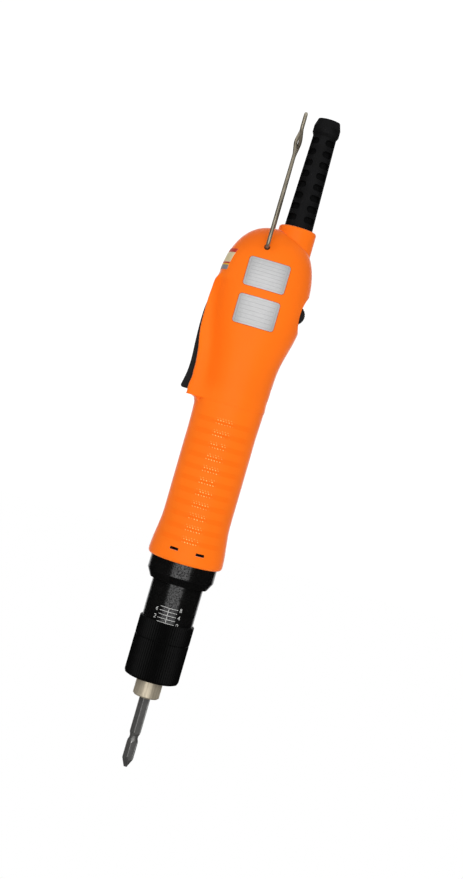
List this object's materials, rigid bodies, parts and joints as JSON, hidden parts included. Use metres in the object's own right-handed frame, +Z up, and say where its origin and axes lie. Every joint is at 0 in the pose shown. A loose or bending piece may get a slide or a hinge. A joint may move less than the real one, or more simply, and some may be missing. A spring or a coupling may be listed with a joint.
{
  "type": "electric torque screwdriver",
  "caption": "In-line electric torque screwdriver with orange grip, start lever, reverse knob, knurled torque nut, hex bit chuck, hanging hook and cord boot.",
  "frame": {"origin": "on the spindle axis, half way up the clamping land of the nose flange", "axes": "+Z up the spindle axis towards the cord boot, the bit points to -Z, the start lever is at -X and the reverse knob at +X, the labelled face is at -Y"},
  "size_m": [0.0476, 0.0393, 0.3243],
  "materials": {
    "orange_shell": "fine moulded texture",
    "black_plastic": "satin",
    "boot_rubber": "matt",
    "label_silver": "satin film",
    "seal_film": "printed colour bands",
    "black_metal": "black satin",
    "plated_metal": "nickel plate",
    "bit_steel": "dark hardened",
    "hook_wire": "drawn wire",
    "machined_steel": "turned",
    "bearing_steel": "polished",
    "spring_steel": "drawn",
    "gear_steel": "cut",
    "motor_metal": "zinc plate",
    "magnet": "sintered",
    "core_iron": "wound core",
    "contact_brass": "bright",
    "inner_plastic": "moulded",
    "board": "lacquered",
    "lead_sleeve": "sleeved wire"
  },
  "bodies": {
    "housing": {"front_housing": "orange_shell", "rear_housing": "orange_shell", "cord_boot": "boot_rubber", "inner_cord": "boot_rubber", "upper_label": "label_silver", "lower_label": "label_silver", "side_label": "seal_film", "nose_flange": "black_metal", "scale_barrel": "black_metal", "power_socket": "plated_metal", "lever_pin": "machined_steel", "housing_screws": "machined_steel", "board_screws": "machined_steel", "thrust_washer": "machined_steel", "output_bearing": "machined_steel", "motor_front_plate": "machined_steel", "lever_spring": "spring_steel", "torque_spring": "spring_steel", "ring_gear": "gear_steel", "motor_can": "motor_metal", "motor_magnets": "magnet", "motor_brushes": "magnet", "socket_contacts": "contact_brass", "start_switch": "inner_plastic", "reverse_switch": "inner_plastic", "board_plug": "inner_plastic", "socket_insulator": "inner_plastic", "motor_end_bell": "inner_plastic", "circuit_board": "board", "motor_leads": "lead_sleeve"},
    "lever": {"start_lever": "black_plastic"},
    "plunger": {"start_plunger": "inner_plastic"},
    "knob": {"reverse_knob": "black_plastic"},
    "hook": {"hang_hook": "hook_wire"},
    "seat": {"spring_seat": "machined_steel"},
    "nut": {"torque_nut": "black_metal"},
    "rotor": {"rotor_shaft": "machined_steel", "armature_core": "core_iron", "commutator": "contact_brass"},
    "first_carrier": {"first_carrier": "machined_steel"},
    "output": {"output_carrier": "machined_steel", "clutch_driver": "machined_steel", "clutch_balls": "bearing_steel", "clutch_plate": "machined_steel", "spindle": "machined_steel", "chuck_balls": "bearing_steel", "sleeve_stop_ring": "plated_metal", "sleeve_spring": "spring_steel", "bit": "bit_steel"},
    "sleeve": {"chuck_sleeve": "plated_metal"},
    "first_planet_1": {"first_planet_1": "gear_steel"},
    "first_planet_2": {"first_planet_2": "gear_steel"},
    "first_planet_3": {"first_planet_3": "gear_steel"},
    "second_planet_1": {"second_planet_1": "gear_steel"},
    "second_planet_2": {"second_planet_2": "gear_steel"},
    "second_planet_3": {"second_planet_3": "gear_steel"}
  },
  "joints": [
    {"name": "rotor_spin", "type": "hinge", "parent": "housing", "child": "rotor", "pos_m": [0, 0, 0.05], "axis": [0, 0, 1], "continuous": true},
    {"name": "first_carrier_spin", "type": "hinge", "parent": "housing", "child": "first_carrier", "pos_m": [0, 0, 0.017], "axis": [0, 0, 1], "continuous": true},
    {"name": "spindle_spin", "type": "hinge", "parent": "housing", "child": "output", "pos_m": [0, 0, 0], "axis": [0, 0, 1], "continuous": true},
    {"name": "first_planet_1_spin", "type": "hinge", "parent": "first_carrier", "child": "first_planet_1", "pos_m": [0.00758, 0, 0.0218], "axis": [0, 0, 1], "continuous": true},
    {"name": "first_planet_2_spin", "type": "hinge", "parent": "first_carrier", "child": "first_planet_2", "pos_m": [-0.00379, 0.00656, 0.0218], "axis": [0, 0, 1], "continuous": true},
    {"name": "first_planet_3_spin", "type": "hinge", "parent": "first_carrier", "child": "first_planet_3", "pos_m": [-0.00379, -0.00656, 0.0218], "axis": [0, 0, 1], "continuous": true},
    {"name": "second_planet_1_spin", "type": "hinge", "parent": "output", "child": "second_planet_1", "pos_m": [0.00758, 0, 0.0127], "axis": [0, 0, 1], "continuous": true},
    {"name": "second_planet_2_spin", "type": "hinge", "parent": "output", "child": "second_planet_2", "pos_m": [-0.00379, 0.00656, 0.0127], "axis": [0, 0, 1], "continuous": true},
    {"name": "second_planet_3_spin", "type": "hinge", "parent": "output", "child": "second_planet_3", "pos_m": [-0.00379, -0.00656, 0.0127], "axis": [0, 0, 1], "continuous": true},
    {"name": "sleeve_slide", "type": "slide", "parent": "output", "child": "sleeve", "axis": [0, 0, 1], "range_m": [0, 0.003], "stiffness_N_per_m": 600, "springref_m": -0.002, "deforming": ["sleeve_spring"]},
    {"name": "torque_travel", "type": "slide", "parent": "housing", "child": "seat", "axis": [0, 0, 1], "range_m": [0, 0.0073], "deforming": ["torque_spring"]},
    {"name": "torque_turn", "type": "hinge", "parent": "seat", "child": "nut", "pos_m": [0, 0, -0.04], "axis": [0, 0, 1], "range_deg": [0, 1440]},
    {"name": "lever_press", "type": "hinge", "parent": "housing", "child": "lever", "pos_m": [-0.0194, 0, 0.1346], "axis": [0, -1, 0], "range_deg": [0, 4], "stiffness_Nm_per_rad": 0.5, "springref_deg": -3.44, "deforming": ["lever_spring"]},
    {"name": "plunger_push", "type": "slide", "parent": "housing", "child": "plunger", "axis": [1, 0, 0], "range_m": [0, 0.0015]},
    {"name": "knob_slide", "type": "slide", "parent": "housing", "child": "knob", "axis": [0, 0, 1], "range_m": [-0.0022, 0.0022]},
    {"name": "hook_swing", "type": "hinge", "parent": "housing", "child": "hook", "pos_m": [-0.00355, 0, 0.1566], "axis": [0, 1, 0], "range_deg": [-105, 2]}
  ],
  "couplings": [
    {"joint": "first_carrier_spin", "follows": "rotor_spin", "ratio": 0.25},
    {"joint": "spindle_spin", "follows": "rotor_spin", "ratio": 0.0625},
    {"joint": "first_planet_1_spin", "follows": "rotor_spin", "ratio": -0.75},
    {"joint": "first_planet_2_spin", "follows": "rotor_spin", "ratio": -0.75},
    {"joint": "first_planet_3_spin", "follows": "rotor_spin", "ratio": -0.75},
    {"joint": "second_planet_1_spin", "follows": "rotor_spin", "ratio": -0.1875},
    {"joint": "second_planet_2_spin", "follows": "rotor_spin", "ratio": -0.1875},
    {"joint": "second_planet_3_spin", "follows": "rotor_spin", "ratio": -0.1875},
    {"joint": "torque_travel", "follows": "torque_turn", "m_per_rad": 0.00029046},
    {"joint": "plunger_push", "follows": "lever_press", "m_per_rad": 0.0211}
  ]
}
